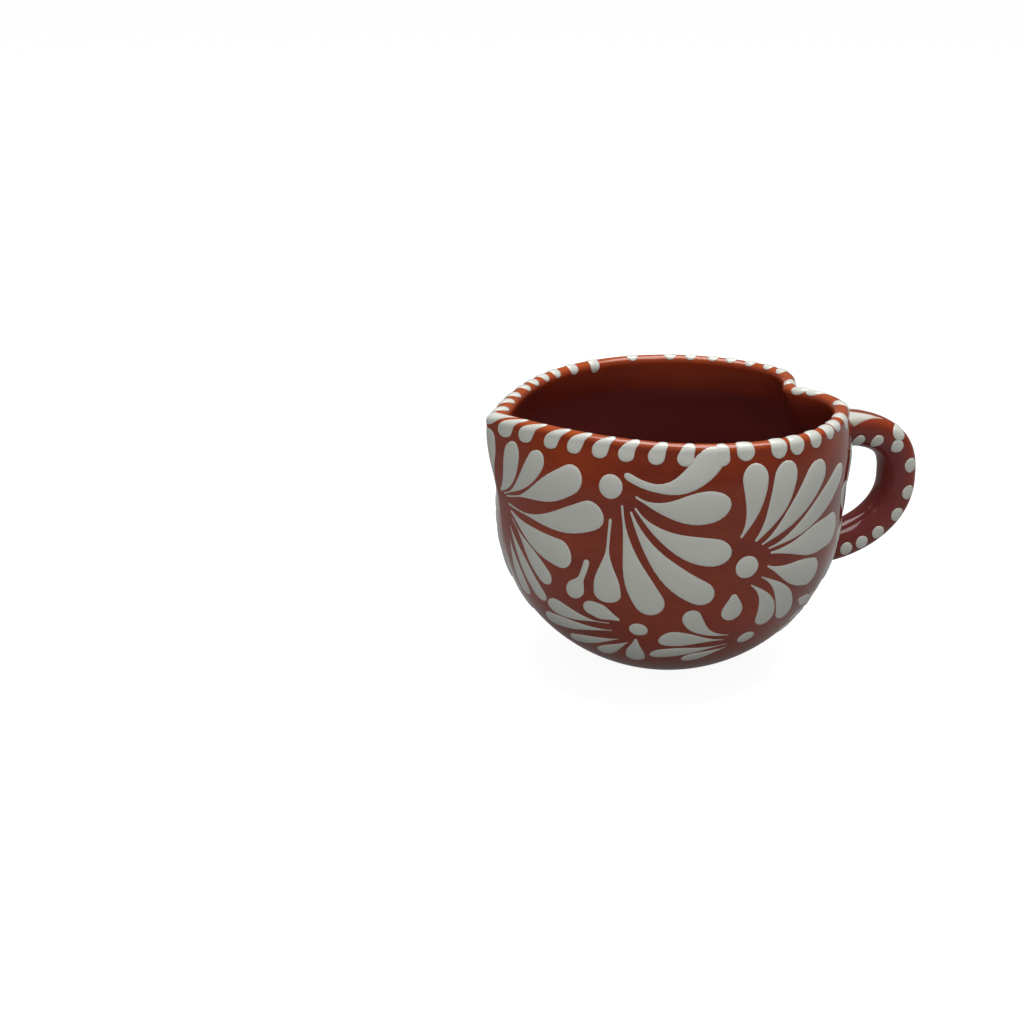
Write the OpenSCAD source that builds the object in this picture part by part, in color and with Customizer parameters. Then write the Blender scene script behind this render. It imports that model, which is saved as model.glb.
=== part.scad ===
// Clay mug with a heart-shaped mouth, one loop handle and raised white slip strokes.
// Millimetres. The origin is the centre of the flat base and +Z is up.
// +X runs from the pouring tip, through the cleft, to the handle. The near side faces -Y.
// Round the bowl, 0 degrees is the cleft and 180 degrees is the tip.

/* [Bowl] */
// Radius of the ball that the lower bowl is part of
bowl_r = 46; // [40:0.5:54]
// Radius of the flat base
foot_r = 17; // [13:0.5:22]
// Height of the rim's crest above the base
mug_h = 69.5; // [65:0.5:80]
// Thickness of the wall
wall_t = 4; // [3:0.25:5.5]
// Thickness of the floor
floor_t = 5; // [3.5:0.25:8]
// Height of the lip's rounding above the straight wall
lip_h = 2; // [1.5:0.25:3]

/* [Mouth] */
// How far the mouth's flanks are drawn in from the ball's radius
flank_draw = 6.8; // [4:0.1:8.5]
// How much further out the two lobes stand
lobe_rise = 6.4; // [3:0.1:9]
// How much further out the tip stands
tip_rise = 10.4; // [6:0.1:13]
// Depth of the cleft between the lobes
cleft_depth = 8.4; // [4:0.1:9]
// Height where the round bowl starts to turn into a heart
heart_z = 19; // [12:0.5:26]
// How far the wall swells out below the rim
swell = 1.8; // [0.5:0.1:2.5]
// How far below the crest the swell is fullest
swell_drop = 10; // [7:0.5:13]
// Height over which the swell dies away
swell_span = 12; // [9:0.5:15]

/* [Handle] */
// How far the handle's centre line stands out past the bowl's ball
handle_out = 22.7; // [19:0.1:28]
// How far below the crest the handle's upper root is centred
handle_drop = 13; // [12:0.25:15]
// Height of the handle's lower root
handle_low_z = 23; // [20:0.25:25]
// Width of the handle
handle_w = 11.6; // [9:0.2:13]
// Thickness of the handle, measured away from the bowl
handle_t = 9.5; // [8:0.25:10.5]
// Length of the thickened joint at each root
luting_l = 3; // [2:0.25:4]

/* [Slip] */
// Height of the slip at the middle of a stroke
slip_h = 0.7; // [0.4:0.1:1.2]
// Gap under the slip and at the handle's roots
seat_gap = 0.14; // [0.12:0.01:0.2]
// Width of a drop on the rim, as a share of the way from one drop to the next
rim_drop_share = 0.79; // [0.6:0.01:0.84]
// How far a rim drop hangs below the lip
rim_drop_l = 3.4; // [2.6:0.1:3.6]
// How far a drop's tail sweeps round the rim beside the tip
rim_tail_reach = 3.2; // [1:0.1:4]
// Diameter of a drop on the handle
handle_drop_size = 3.4; // [2.6:0.1:3.8]
// Length of a leaf on top of the handle
leaf_l = 12; // [9:0.5:13]
// Width of a leaf on top of the handle, as a share of the handle's width
leaf_share = 0.38; // [0.26:0.01:0.4]

/* [Fans] */
// Reach of the fan round the tip, as a share of the painted field
tip_fan_share = 0.472; // [0.4:0.002:0.49]
// Reach of a front fan, as a share of the painted field
front_fan_share = 0.433; // [0.38:0.001:0.44]
// Reach of a lobe fan, as a share of the painted field
lobe_fan_share = 0.433; // [0.38:0.001:0.44]
// Reach of a fan beside the handle, as a share of the painted field
handle_fan_share = 0.328; // [0.26:0.002:0.34]
// Distance of the handle fans from the handle's plane
handle_fan_offset = 14; // [13:0.25:17]
// Reach of a fan in the low band, as a share of the painted field
low_fan_share = 0.289; // [0.23:0.001:0.29]
// Diameter of the round dot beside a fan, as a share of the painted field
eye_share = 0.076; // [0.05:0.001:0.08]

/* [Hidden] */

clay_colour = [0.56, 0.2, 0.1];
slip_colour = [0.75, 0.75, 0.72];

full_turn = 360;
half_turn = full_turn / 2;
quarter_turn = full_turn / 4;

// Turns and shares that shape the mouth
tip_turn = 20;
cleft_turn = 13.5;
lobe_mid_turn = 103;
lobe_span_turn = 96;
heart_power = 1.75;
tip_power = 2.3;
tip_fill_share = 0.17;
cleft_spread_share = 0.15;

// Wall heights and lengths that follow from the sizes
ball_z = sqrt(bowl_r * bowl_r - foot_r * foot_r);
foot_turn = asin(foot_r / bowl_r);
ball_s = arc(quarter_turn - foot_turn, bowl_r);
top_z = mug_h - lip_h;
top_s = ball_s + top_z - ball_z;
swell_z = mug_h - swell_drop;
flank_r = bowl_r - flank_draw;

// Counts of rings and columns in the bowl's mesh
fine_turn = 2.5;
fine_end_turn = 25;
coarse_turn = 5;
outer_ring_count = 13;
inner_ring_count = 9;
inner_power = 1.3;
lip_turns = [0, 45, 90, 135, 180];

function within(t) = min(1, max(0, t));
function ease(t) = let (k = within(t)) k * k * (3 - 2 * k);
function folded(a) = abs((a + full_turn + half_turn) % full_turn - half_turn);
function turned(length, r) = length / r * half_turn / PI;
function arc(turn, r) = r * turn * PI / half_turn;
function unit(v) = v / norm(v);
function signed_power(v, p) = sign(v) * pow(abs(v), p);

// Radius of the wall at an angle and height, outside for inside = 0 and inside for inside = 1
function ball_part(z, r) = z < ball_z ? sqrt(max(0, r * r - (ball_z - z) * (ball_z - z))) : r;
function swell_part(z) = swell * exp(-pow((z - swell_z) / swell_span, 2));
function lobe_part(a) = lobe_rise * ease((lobe_mid_turn + lobe_span_turn / 2 - a) / lobe_span_turn);
function cleft_part(a, turn) = cleft_depth * exp(-pow(a / turn, 2));
function wall_r(angle, z, inside = 0) =
    let (
        a = folded(angle),
        rise = within((z - heart_z) / (top_z - heart_z)),
        turn = cleft_turn * (1 + inside * cleft_spread_share),
        heart = -flank_draw - swell_part(top_z) + lobe_part(a) - cleft_part(a, turn),
        tip = tip_rise * (1 - inside * tip_fill_share) * exp(-(half_turn - a) / tip_turn)
    )
    ball_part(z, bowl_r - inside * wall_t) + swell_part(z)
        + pow(rise, heart_power) * heart + pow(rise, tip_power) * tip;

function around(angle, r, z) = [r * cos(angle), r * sin(angle), z];

// Point on the rounded lip, from the outer wall at 0 through the crest at 90
function lip_point(angle, turn) =
    let (
        r_out = wall_r(angle, top_z),
        r_in = wall_r(angle, top_z, 1)
    )
    around(
        angle,
        (r_out + r_in) / 2 + (r_out - r_in) / 2 * cos(turn),
        top_z + lip_h * sin(turn)
    );

// Point of the outer wall at length s along it from the base, going on over the lip
function height_at(s) =
    s < ball_s ? ball_z - bowl_r * cos(foot_turn + turned(s, bowl_r)) : ball_z + s - ball_s;
function wall_point(angle, s) =
    s <= top_s
        ? around(angle, wall_r(angle, height_at(s)), height_at(s))
        : lip_point(angle, turned(s - top_s, lip_h));

// The same point lifted off the wall
nudge_turn = 0.2;
nudge_share = 0.0025;
nudge_s = bowl_r * nudge_share;
function bowl_skin(angle, s, lift) =
    let (
        across = wall_point(angle + nudge_turn, s) - wall_point(angle - nudge_turn, s),
        up = wall_point(angle, s + nudge_s) - wall_point(angle, s - nudge_s)
    )
    wall_point(angle, s) + lift * unit(cross(across, up));

// Closed mesh over rings of the same count, with flat ends
function ring_faces(rings, sides) = [
    for (i = [0:rings - 2])
        for (k = [0:sides - 1])
            let (
                a = i * sides + k,
                b = i * sides + (k + 1) % sides
            )
            each [[a, b, b + sides], [a, b + sides, a + sides]]
];
function end_faces(first, sides) = [
    for (k = [1:sides - 2]) [first, first + k + 1, first + k]
];
function flipped(faces) = [for (f = faces) [f[2], f[1], f[0]]];
module lofted(rings) {
    sides = len(rings[0]);
    polyhedron(
        points = [for (ring = rings) each ring],
        faces = concat(
            flipped(ring_faces(len(rings), sides)),
            flipped(end_faces(0, sides)),
            end_faces((len(rings) - 1) * sides, sides)
        )
    );
}

// Stroke sections: places across, from -1 to 1, and heights, from 0 to 1
stroke_section_shares = [[-1, 0], [0, 0], [1, 0], [0.55, 1], [-0.55, 1]];
stem_shares = [0, 0.17, 0.34, 0.5, 0.66, 0.82, 1];
head_turns = [42, 72];
stem_power = 1.2;
tail_share = 0.12;
thin_share = 0.4;
slope_share = 0.015;

// Width share along a stroke with a pointed tail and a round head
function stroke_stations(head_start, tail) = concat(
    [for (k = stem_shares) [k * head_start, tail + (1 - tail) * pow(ease(k), stem_power)]],
    [for (b = head_turns) [head_start + (1 - head_start) * sin(b), cos(b)]]
);
function bowed(p, q, bow, t) =
    let (
        run = q - p,
        middle = (p + q) / 2 + bow * [-run[1], run[0]] / norm(run)
    )
    p * (1 - t) * (1 - t) + 2 * middle * t * (1 - t) + q * t * t;

// One raised stroke from p to q on a skin, which turns flat places into points
module stroke(skin, p, q, width, bow, tail = tail_share) {
    head_start = 1 - width / 2 / norm(q - p);
    lofted([
        for (station = stroke_stations(head_start, tail))
            let (
                t = station[0],
                ahead = unit(bowed(p, q, bow, t + slope_share) - bowed(p, q, bow, t - slope_share)),
                side = [-ahead[1], ahead[0]],
                half = width / 2 * station[1],
                rise = slip_h * (thin_share + (1 - thin_share) * station[1])
            )
            [
                for (place = stroke_section_shares)
                    let (spot = bowed(p, q, bow, t) + side * half * place[0])
                    skin(spot[0], spot[1], seat_gap + rise * place[1])
            ]
    ]);
}

// One raised round dot on a skin
dot_side_count = 10;
dot_shoulder_share = 0.7;
dot_shoulder_rise_share = 0.85;
module dot(skin, place, diameter) {
    function circle_at(share, lift) = [
        for (k = [0:dot_side_count - 1])
            let (
                turn = full_turn * k / dot_side_count,
                spot = place + diameter / 2 * share * [cos(turn), sin(turn)]
            )
            skin(spot[0], spot[1], lift)
    ];
    lofted([
        circle_at(1 / dot_side_count, seat_gap),
        circle_at(1, seat_gap),
        circle_at(dot_shoulder_share, seat_gap + slip_h * dot_shoulder_rise_share),
        circle_at(1 / dot_side_count, seat_gap + slip_h)
    ]);
}

// Flat places round a point of the bowl, laid on the wall
lowest_s = 2 * slip_h;
function flat_skin(angle, s0) =
    function (u, v, lift)
        let (s = max(lowest_s, s0 + v))
        bowl_skin(angle + turned(u, wall_r(angle, height_at(min(s, top_s)))), s, lift);

// The painted field below the rim drops: places in it are shares of its length and of an arc
field_turn = 95;
field_s = top_s - rim_drop_l;
field_arc = arc(field_turn, bowl_r);
function fan_skin(angle, s0) =
    let (skin = flat_skin(angle, s0))
    function (u, v, lift) skin(u * field_arc, v * field_s, lift);

// Petals of a fan: heading and share of the tail, heading and share of the head,
// width share, bow share
module fan(angle, height_share, reach_share, petals) {
    skin = fan_skin(angle, height_share * field_s);
    for (petal = petals) {
        tail = reach_share * petal[1] * [cos(petal[0]), sin(petal[0])];
        head = reach_share * petal[3] * [cos(petal[2]), sin(petal[2])];
        stroke(skin, tail, head, reach_share * petal[4], reach_share * petal[5]);
    }
}

module far_side() {
    mirror([0, 1, 0]) children();
}

// Fan centres: turns round the bowl, and heights as shares of the field's length
front_turn = -132;
lobe_turn = -88;
handle_fan_turn = -asin(handle_fan_offset / bowl_r);
low_tip_turn = -122;
tip_height_share = 0.781;
front_height_share = 0.929;
lobe_height_share = 0.672;
handle_height_share = 0.658;
low_tip_height_share = 0.43;
low_height_share = 0.36;
low_turn_shares = [[-81, 1], [-34, 0.68]];

tip_petal_shares = [
    [58, 0.13, 65, 0.47, 0.14, 0],
    [39, 0.14, 44, 0.61, 0.17, -0.02],
    [20, 0.15, 25, 0.93, 0.19, 0.03],
    [3, 0.15, 7, 1.04, 0.22, 0.04],
    [-14, 0.17, -21, 0.82, 0.18, 0.03],
    [-30, 0.25, -42, 0.76, 0.14, 0.02],
    [-47, 0.28, -59, 0.78, 0.12, 0.02],
    [-63, 0.36, -75, 0.72, 0.11, 0.02]
];
tip_lone_shares = [
    [90, 0.12, 90, 0.4, 0.12, 0],
    [-90, 0.4, -90, 0.92, 0.12, 0]
];
front_petal_shares = [
    [40, 0.14, 8, 0.76, 0.155, -0.1],
    [-14, 0.19, -7, 0.92, 0.25, -0.08],
    [-32, 0.24, -28, 0.99, 0.26, -0.12],
    [-44, 0.26, -46, 1.1, 0.27, -0.1],
    [-58, 0.2, -72, 1.02, 0.29, -0.05],
    [-90, 0.25, -91, 0.89, 0.2, 0],
    [-106, 0.59, -109, 0.97, 0.15, 0.04]
];
lobe_petal_shares = [
    [107, 0.22, 89, 0.73, 0.2, 0],
    [81, 0.18, 70, 0.79, 0.22, -0.06],
    [59, 0.2, 50, 0.95, 0.23, -0.08],
    [40, 0.25, 35, 1.12, 0.22, -0.09],
    [20, 0.2, 5, 1.03, 0.26, -0.05],
    [0, 0.2, -18, 0.84, 0.23, 0],
    [-28, 0.2, -56, 0.84, 0.18, 0.13],
    [-66, 0.2, -67, 0.64, 0.15, 0.09],
    [-36, 0.64, -36, 0.88, 0.13, 0],
    [-103, 0.24, -95, 0.49, 0.16, 0]
];
handle_petal_shares = [
    [88, 0.16, 93, 0.92, 0.24, 0.03],
    [110, 0.16, 119, 1, 0.27, 0.05],
    [135, 0.16, 146, 0.96, 0.27, 0.05],
    [165, 0.16, 182, 0.74, 0.25, 0.03],
    [200, 0.16, 215, 0.86, 0.24, 0],
    [235, 0.16, 244, 0.66, 0.2, 0],
    [262, 0.16, 265, 0.9, 0.2, 0]
];
low_tip_petal_shares = [
    [150, 0.24, 148, 0.66, 0.2, 0],
    [174, 0.3, 169, 1.09, 0.2, 0.03],
    [203, 0.34, 191, 1.16, 0.2, 0.02],
    [229, 0.38, 211, 0.92, 0.18, 0.02],
    [247, 0.31, 229, 0.82, 0.18, 0.02],
    [270, 0.2, 258, 0.7, 0.2, 0]
];
low_petal_shares = [
    [150, 0.2, 149, 0.93, 0.25, -0.08],
    [176, 0.2, 176, 1.02, 0.22, 0.02],
    [205, 0.22, 202, 1, 0.2, 0],
    [230, 0.25, 222, 0.82, 0.2, 0]
];

// The eyes of the low fans are smaller
low_eye_share = 0.85;

// Rim drops hang by the outer wall and sweep their tails over the lip
rim_step_turn = 9.23;
rim_first_turn = 7;
rim_side_count = 19;
rim_drop_w = rim_drop_share * arc(rim_step_turn, flank_r);
rim_straight_turn = 85;
rim_tail_share = 0.45;
rim_tail_end_share = 0.75;

// Centre line of the handle in the XZ plane, from the upper root at 90 to the lower at -90
handle_root_x = bowl_r - wall_t;
handle_tip_x = bowl_r + handle_out;
handle_top_z = mug_h - handle_drop;
handle_mid_share = 0.52;
handle_mid_z = handle_low_z + handle_mid_share * (handle_top_z - handle_low_z);
upper_power = 2.9;
lower_power = 2.1;
section_power = 0.7;
handle_side_count = 12;
handle_step_turn = 7;
luting_grow_share = 0.22;
root_shares = [0.08, 0.55, 1];
root_mid_share = 0.5;
slope_turn = 1;

function handle_line(t) =
    let (
        p = t > 0 ? upper_power : lower_power,
        end_z = t > 0 ? handle_top_z : handle_low_z
    )
    [
        handle_root_x + (handle_tip_x - handle_root_x) * pow(max(0, cos(t)), 2 / p),
        handle_mid_z + (end_z - handle_mid_z) * pow(abs(sin(t)), 2 / p)
    ];
// Section turn 0 is the near side, 90 faces away from the bowl
function handle_point(t, turn, grow = 1, lift = 0) =
    let (
        along = unit(handle_line(t + slope_turn) - handle_line(t - slope_turn)),
        out = [along[1], -along[0]],
        across = signed_power(cos(turn), section_power) * handle_w / 2 * grow,
        thick = signed_power(sin(turn), section_power) * handle_t / 2 * grow,
        slant = unit([cos(turn) / handle_w, sin(turn) / handle_t]),
        spot = handle_line(t) + out * (thick + lift * slant[1])
    )
    [spot[0], -across - lift * slant[0], spot[1]];
// Place on the bowl's wall straight behind a point of the handle
function wall_x(y, z) =
    let (
        x1 = wall_r(0, z),
        x2 = sqrt(pow(wall_r(atan2(y, x1), z), 2) - y * y)
    )
    sqrt(pow(wall_r(atan2(y, x2), z), 2) - y * y);
function root_turn(p) =
    acos(pow((bowl_r + luting_l - handle_root_x) / (handle_tip_x - handle_root_x), p / 2));
function handle_turns() = [for (k = [0:handle_side_count - 1]) -full_turn * k / handle_side_count];
// Ring between the handle at turn t, for share 0, and the bowl's wall, for share 1
function root_ring(t, share, size = 1) = [
    for (turn = handle_turns())
        let (
            p = handle_point(t, turn, size * (1 + luting_grow_share * share * share)),
            x = wall_x(p[1], p[2]) + seat_gap
        )
        [p[0] + (x - p[0]) * share, p[1], p[2]]
];

// Drops along the handle's near side: turn of the centre line and turn of the section
handle_dot_turns = [
    [72, -20], [58, -8], [41, 32], [35, 0], [10, 10],
    [-7, 10], [-26, 10], [-46, 8], [-59, 6], [-70, 6]
];
// Flat places round a point of the handle: u round the section and v along the handle
skin_turn = 3;
function handle_skin(t, turn) =
    let (
        u_span = handle_point(t, turn + skin_turn) - handle_point(t, turn - skin_turn),
        v_span = handle_point(t + skin_turn, turn) - handle_point(t - skin_turn, turn),
        u_step = norm(u_span) / (2 * skin_turn),
        v_step = norm(v_span) / (2 * skin_turn)
    )
    function (u, v, lift) handle_point(t + v / v_step, turn + u / u_step, 1, lift);
// Flat places on top of the handle: v runs from the leaf's point towards the bowl.
// The handle is strongly rounded there, so a leaf has a second gap under it.
leaf_side_share = 0.56;
function leaf_skin(side) =
    function (u, v, lift)
        let (
            x = bowl_r + luting_l + leaf_l - v,
            line_share = (x - handle_root_x) / (handle_tip_x - handle_root_x),
            across_share = side * leaf_side_share + u / (handle_w / 2)
        )
        handle_point(
            acos(pow(line_share, upper_power / 2)),
            half_turn - acos(signed_power(across_share, 1 / section_power)),
            1,
            lift + seat_gap
        );

module bowl() {
    half = concat(
        [for (a = [0:fine_turn:fine_end_turn]) a],
        [for (a = [fine_end_turn + coarse_turn:coarse_turn:half_turn]) a]
    );
    last = len(half) - 1;
    angles = concat(half, [for (k = [last - 1:-1:1]) -half[k]]);
    columns = len(angles);
    outer = [
        for (k = [0:outer_ring_count - 1])
            let (s = top_s * k / outer_ring_count)
            [for (a = angles) wall_point(a, s)]
    ];
    lip = [for (turn = lip_turns) [for (a = angles) lip_point(a, turn)]];
    inner = [
        for (k = [1:inner_ring_count])
            let (z = top_z + (floor_t - top_z) * (1 - pow(1 - k / inner_ring_count, inner_power)))
            [for (a = angles) around(a, wall_r(a, z, 1), z)]
    ];
    rings = concat(outer, lip, inner);
    under = len(rings) * columns;
    inside = under + 1;
    top_row = (len(rings) - 1) * columns;
    color(clay_colour)
        polyhedron(
            points = concat([for (ring = rings) each ring], [[0, 0, 0], [0, 0, floor_t]]),
            faces = concat(
                flipped(ring_faces(len(rings), columns)),
                [for (k = [0:columns - 1]) [under, k, (k + 1) % columns]],
                [for (k = [0:columns - 1]) [inside, top_row + (k + 1) % columns, top_row + k]]
            )
        );
}

module handle() {
    upper = root_turn(upper_power);
    lower = root_turn(lower_power);
    steps = ceil((upper + lower) / handle_step_turn);
    color(clay_colour)
        lofted(concat(
            [for (size = root_shares) root_ring(upper, 1, size)],
            [root_ring(upper, root_mid_share)],
            [
                for (k = [0:steps])
                    let (t = upper - (upper + lower) * k / steps)
                    [for (turn = handle_turns()) handle_point(t, turn)]
            ],
            [root_ring(-lower, root_mid_share)],
            [for (k = [len(root_shares) - 1:-1:0]) root_ring(-lower, 1, root_shares[k])]
        ));
}

module rim_drop_side() {
    for (k = [0:rim_side_count - 1]) {
        turn = rim_first_turn + rim_step_turn * k;
        sweep = rim_tail_reach * (turn - rim_straight_turn) / (half_turn - rim_straight_turn);
        stroke(
            flat_skin(-turn, top_s),
            [sweep, PI * lip_h * rim_tail_end_share],
            [0, -rim_drop_l],
            rim_drop_w,
            0,
            rim_tail_share
        );
    }
}

module rim_drops() {
    color(slip_colour) {
        rim_drop_side();
        far_side() rim_drop_side();
    }
}

module tip_fan() {
    color(slip_colour) {
        fan(-half_turn, tip_height_share, tip_fan_share, tip_petal_shares);
        far_side() fan(-half_turn, tip_height_share, tip_fan_share, tip_petal_shares);
        fan(-half_turn, tip_height_share, tip_fan_share, tip_lone_shares);
    }
}

module near_front_fan() {
    color(slip_colour) fan(front_turn, front_height_share, front_fan_share, front_petal_shares);
}

module far_front_fan() {
    far_side() near_front_fan();
}

module near_lobe_fan() {
    color(slip_colour) fan(lobe_turn, lobe_height_share, lobe_fan_share, lobe_petal_shares);
}

module far_lobe_fan() {
    far_side() near_lobe_fan();
}

module near_handle_fan() {
    color(slip_colour) fan(handle_fan_turn, handle_height_share, handle_fan_share, handle_petal_shares);
}

module far_handle_fan() {
    far_side() near_handle_fan();
}

module low_side() {
    fan(low_tip_turn, low_tip_height_share, low_fan_share, low_tip_petal_shares);
    for (place = low_turn_shares)
        fan(place[0], low_height_share, low_fan_share * place[1], low_petal_shares);
}

module low_fans() {
    color(slip_colour) {
        low_side();
        far_side() low_side();
    }
}

// The round dot in the middle of a fan
module eye(angle, height_share, size_share) {
    dot(fan_skin(angle, height_share * field_s), [0, 0], eye_share * size_share);
}

module eye_side() {
    eye(front_turn, front_height_share, 1);
    eye(lobe_turn, lobe_height_share, 1);
    eye(handle_fan_turn, handle_height_share, 1);
    eye(low_tip_turn, low_tip_height_share, low_eye_share);
    for (place = low_turn_shares)
        eye(place[0], low_height_share, low_eye_share);
}

module fan_eyes() {
    color(slip_colour) {
        eye_side();
        far_side() eye_side();
    }
}

module handle_leaves() {
    color(slip_colour)
        for (side = [-1, 1])
            stroke(leaf_skin(side), [0, 0], [0, leaf_l], leaf_share * handle_w, 0);
}

module handle_drop_side() {
    for (place = handle_dot_turns)
        dot(handle_skin(place[0], place[1]), [0, 0], handle_drop_size);
}

module handle_drops() {
    color(slip_colour) {
        handle_drop_side();
        far_side() handle_drop_side();
    }
}

bowl();
handle();
rim_drops();
tip_fan();
near_front_fan();
far_front_fan();
near_lobe_fan();
far_lobe_fan();
near_handle_fan();
far_handle_fan();
low_fans();
fan_eyes();
handle_leaves();
handle_drops();
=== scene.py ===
"""Dresses the clay mug: smooth glazed clay, raised white slip strokes, a pale stage and soft light.

Metres, in the frame of the CAD model: the origin is the centre of the base, +Z is up, and +X runs from
the pouring tip through the cleft of the heart-shaped mouth to the handle. The near side faces -Y.
Round the bowl, 0 degrees is the cleft and 180 degrees is the tip.
"""

import math

import bpy
import numpy as np
from bpy.props import FloatProperty, FloatVectorProperty, IntProperty, PointerProperty
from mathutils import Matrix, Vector


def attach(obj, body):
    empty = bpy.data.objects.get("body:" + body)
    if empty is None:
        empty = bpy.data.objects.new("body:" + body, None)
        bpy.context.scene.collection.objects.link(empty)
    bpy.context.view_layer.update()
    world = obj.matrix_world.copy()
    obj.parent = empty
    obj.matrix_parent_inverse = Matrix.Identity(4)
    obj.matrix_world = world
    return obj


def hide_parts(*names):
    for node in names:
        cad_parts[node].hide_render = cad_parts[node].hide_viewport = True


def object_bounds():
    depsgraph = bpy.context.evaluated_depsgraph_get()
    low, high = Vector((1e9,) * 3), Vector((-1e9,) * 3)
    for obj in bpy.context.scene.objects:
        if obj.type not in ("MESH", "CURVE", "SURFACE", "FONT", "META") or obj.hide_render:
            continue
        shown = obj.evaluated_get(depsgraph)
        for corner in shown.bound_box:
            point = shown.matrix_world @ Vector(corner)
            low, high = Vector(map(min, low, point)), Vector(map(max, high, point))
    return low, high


bl_info = {
    "name": "Clay mug",
    "version": (1, 0, 0),
    "blender": (4, 5, 0),
    "location": "View3D > Sidebar > Clay mug",
    "description": "Models a clay mug with a heart-shaped mouth and raised white slip strokes",
    "category": "Add Mesh",
}

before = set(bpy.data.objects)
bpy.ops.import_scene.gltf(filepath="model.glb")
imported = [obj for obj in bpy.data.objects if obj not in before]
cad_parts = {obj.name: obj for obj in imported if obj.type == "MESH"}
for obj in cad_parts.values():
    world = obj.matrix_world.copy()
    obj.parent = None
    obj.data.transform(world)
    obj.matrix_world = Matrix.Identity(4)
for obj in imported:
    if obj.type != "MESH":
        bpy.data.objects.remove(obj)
CAD_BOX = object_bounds()

MM = 0.001
FULL_TURN = 360.0
HALF_TURN = 180.0
TINY = 1e-12
FAR_SIDE = np.array([1.0, -1.0, 1.0])
# The turn, on the flank of the mouth, whose outline the pot is spun from.
FLANK_TURN = 150.0
# How near points are merged in the spun pot and in the slip.
POT_MERGE = 0.002 * MM
SLIP_MERGE = 0.001 * MM
GLAZE_IOR = 1.42


def length(name, description, default, low=0.0):
    """A size in metres that a user may change."""
    return FloatProperty(
        name=name, description=description, default=default, min=low, unit="LENGTH", subtype="DISTANCE"
    )


def colour(name, description, default):
    """A colour that a user may change, in linear light."""
    return FloatVectorProperty(
        name=name, description=description, default=default, size=3, min=0.0, max=1.0, subtype="COLOR"
    )


def share(name, description, default, high=1.0):
    """A share or strength that a user may change."""
    return FloatProperty(name=name, description=description, default=default, min=0.0, max=high)


def number(name, description, default):
    """Any other number that a user may change."""
    return FloatProperty(name=name, description=description, default=default)


class MugBowlSizes(bpy.types.PropertyGroup):
    """Sizes of the bowl and its heart-shaped mouth."""

    ball_radius: length("Ball radius", "Radius of the ball that the lower bowl is part of", 46 * MM)
    foot_radius: length("Foot radius", "Radius of the flat base", 17 * MM)
    foot_round: length("Foot rounding", "Rounding of the base's edge", 1.2 * MM)
    height: length("Height", "Height of the rim's crest above the base", 69.5 * MM)
    wall: length("Wall", "Thickness of the wall", 4 * MM)
    floor: length("Floor", "Thickness of the floor", 5 * MM)
    dish: length("Dish", "How far the floor curves up into the wall", 2 * MM)
    lip: length("Lip", "Height of the lip's rounding above the straight wall", 2 * MM)
    flank_draw: length("Flank draw", "How far the mouth's flanks are drawn in", 6.8 * MM)
    lobe_rise: length("Lobe rise", "How much further out the two lobes stand", 6.4 * MM)
    tip_rise: length("Tip rise", "How much further out the tip stands", 10.4 * MM)
    cleft_depth: length("Cleft depth", "Depth of the cleft between the lobes", 8.4 * MM)
    heart_height: length("Heart height", "Height where the bowl starts to turn into a heart", 19 * MM)
    swell: length("Swell", "How far the wall swells out below the rim", 1.8 * MM)
    swell_drop: length("Swell drop", "How far below the crest the swell is fullest", 10 * MM)
    swell_span: length("Swell span", "Height over which the swell dies away", 12 * MM)
    throwing_lines: length("Throwing lines", "Depth of the turned lines inside", 0.04 * MM)


class MugHandleSizes(bpy.types.PropertyGroup):
    """Sizes of the loop handle."""

    reach: length("Reach", "How far the centre line stands out past the ball", 22.7 * MM)
    upper_drop: length("Upper drop", "How far below the crest the upper root is centred", 13 * MM)
    lower_height: length("Lower height", "Height of the lower root", 23 * MM)
    width: length("Width", "Width of the handle", 11.6 * MM)
    thickness: length("Thickness", "Thickness of the handle, away from the bowl", 9.5 * MM)
    joint_length: length("Joint length", "Length of the thickened joint at each root", 3 * MM)
    joint_flare: share("Joint flare", "How much wider the joint grows at the wall", 0.24)


class MugSlipSizes(bpy.types.PropertyGroup):
    """Sizes of the raised white slip."""

    relief: length("Relief", "Height of the slip at the middle of a stroke", 0.4 * MM)
    seat: length("Seat", "How deep the slip sits in the clay", 0.12 * MM)
    rim_drop_width: length("Rim drop width", "Width of a drop on the rim", 4.5 * MM)
    rim_drop_hang: length("Rim drop hang", "How far a rim drop hangs below the lip", 2.7 * MM)
    rim_tail: length("Rim tail", "How far a drop's tail sweeps round the rim beside the tip", 5.4 * MM)
    eye_width: length("Eye width", "Diameter of the dot in the middle of a fan", 6 * MM)
    handle_drop_width: length("Handle drop width", "Diameter of a drop on the handle", 3.8 * MM)
    leaf_length: length("Leaf length", "Length of a leaf on top of the handle", 11 * MM)
    leaf_width: length("Leaf width", "Width of a leaf on top of the handle", 5.2 * MM)
    hand_wobble: share("Hand wobble", "How unsteady the outline of a stroke is", 0.05)
    seed: IntProperty(name="Seed", description="Start of the random hand wobble", default=7)


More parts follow.
